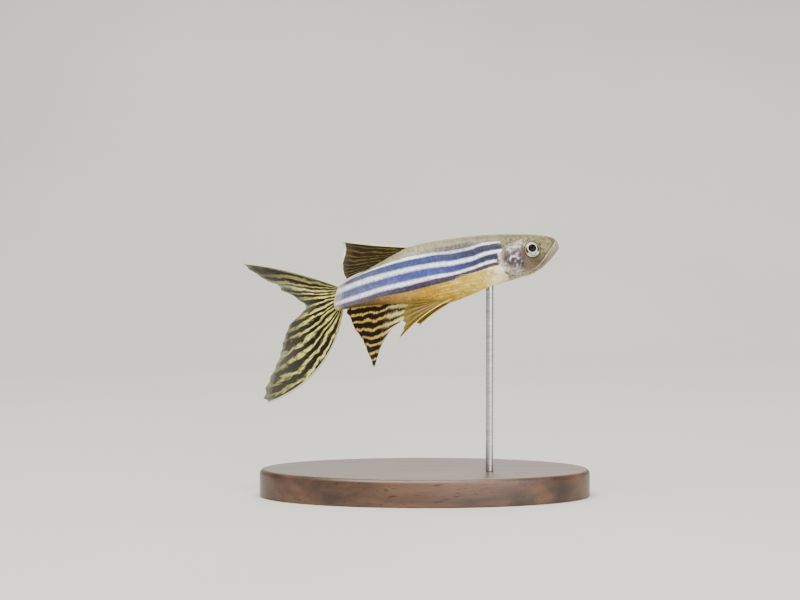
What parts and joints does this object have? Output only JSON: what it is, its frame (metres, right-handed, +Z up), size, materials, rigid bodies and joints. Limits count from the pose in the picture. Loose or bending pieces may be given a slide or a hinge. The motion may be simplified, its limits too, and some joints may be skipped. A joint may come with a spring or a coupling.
{
  "type": "zebra danio display model",
  "caption": "Life-size striped long-finned zebra danio, swimming pose with its tail swept aside, on a plain oval display stand.",
  "frame": {"origin": "middle of the underside of the stand's oval base", "axes": "+X towards the fish's head, +Z up, and the fish's right side faces -Y"},
  "size_m": [0.0511, 0.03, 0.0382],
  "materials": {
    "skin": "olive and silver fish skin, moist gloss",
    "flank": "blue and silver stripes over scales, moist gloss",
    "gill_cover": "violet silver, moist gloss",
    "eye": "silver iris with a black pupil, high gloss",
    "fin": "translucent yellow olive web with dark bands",
    "stand_wood": "dark stained, satin",
    "stand_steel": "brushed"
  },
  "bodies": {
    "root": {"head": "skin", "lower_jaw": "skin", "barbel_snout_left": "skin", "barbel_snout_right": "skin", "barbel_jaw_left": "skin", "barbel_jaw_right": "skin", "trunk_front": "flank", "trunk_rear": "flank", "tail_stalk": "flank", "gill_cover_left": "gill_cover", "gill_cover_right": "gill_cover", "eye_left": "eye", "eye_right": "eye", "fin_dorsal": "fin", "fin_tail_upper": "fin", "fin_tail_lower": "fin", "fin_anal": "fin", "fin_pelvic_left": "fin", "fin_pelvic_right": "fin", "fin_pectoral_left": "fin", "fin_pectoral_right": "fin", "stand_base": "stand_wood", "stand_rod": "stand_steel"}
  },
  "joints": []
}
